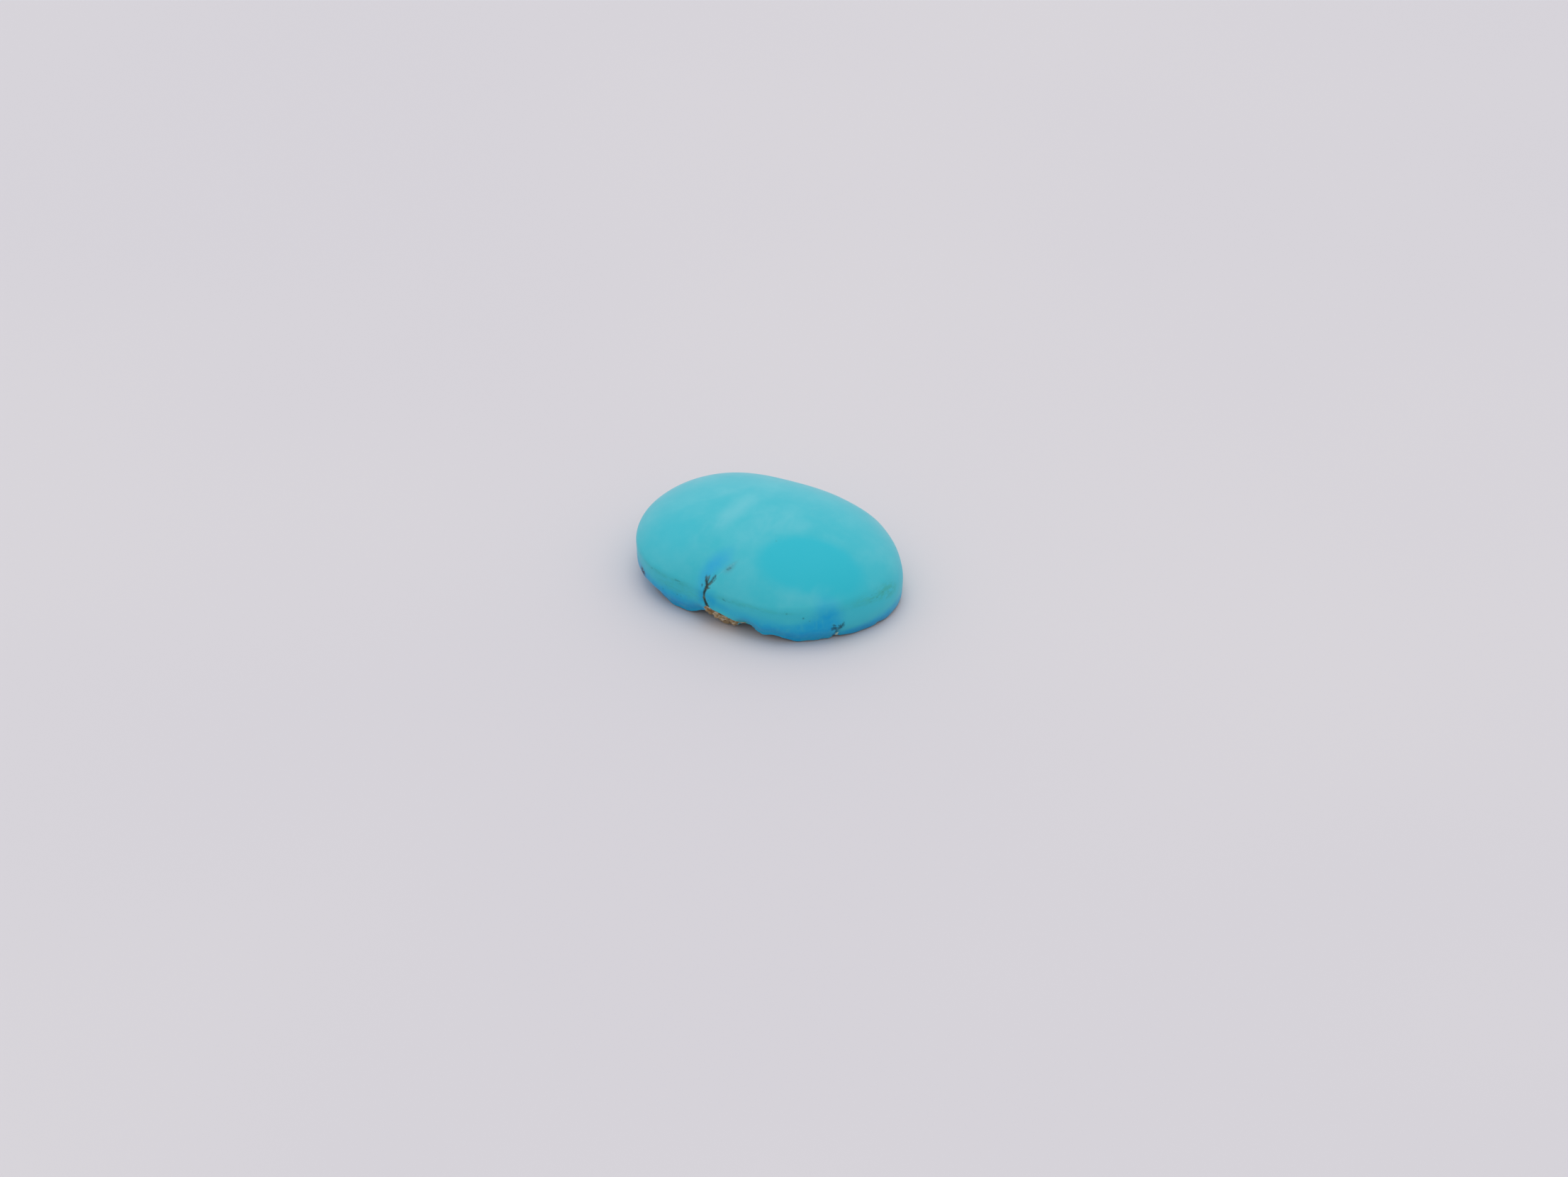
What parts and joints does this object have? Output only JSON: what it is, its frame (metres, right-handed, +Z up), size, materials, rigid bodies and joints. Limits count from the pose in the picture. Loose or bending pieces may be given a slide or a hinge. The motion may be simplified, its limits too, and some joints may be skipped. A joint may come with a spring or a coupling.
{
  "type": "turquoise cabochon",
  "caption": "Oval polished turquoise stone with a low dome, a ground side band, a chipped lower edge with tan matrix, and a flat back to rest or set it on.",
  "frame": {"origin": "on the flat back, under the middle of the stone's bounding box", "axes": "+X along the length of the oval, +Y across it away from the side with the matrix pocket, +Z up through the dome"},
  "size_m": [0.0162, 0.0118, 0.0052],
  "materials": {
    "turquoise": "polished dome, fine-ground side band, tan-brown matrix in the lower edge"
  },
  "bodies": {
    "root": {"turquoise_stone": "turquoise"}
  },
  "joints": []
}
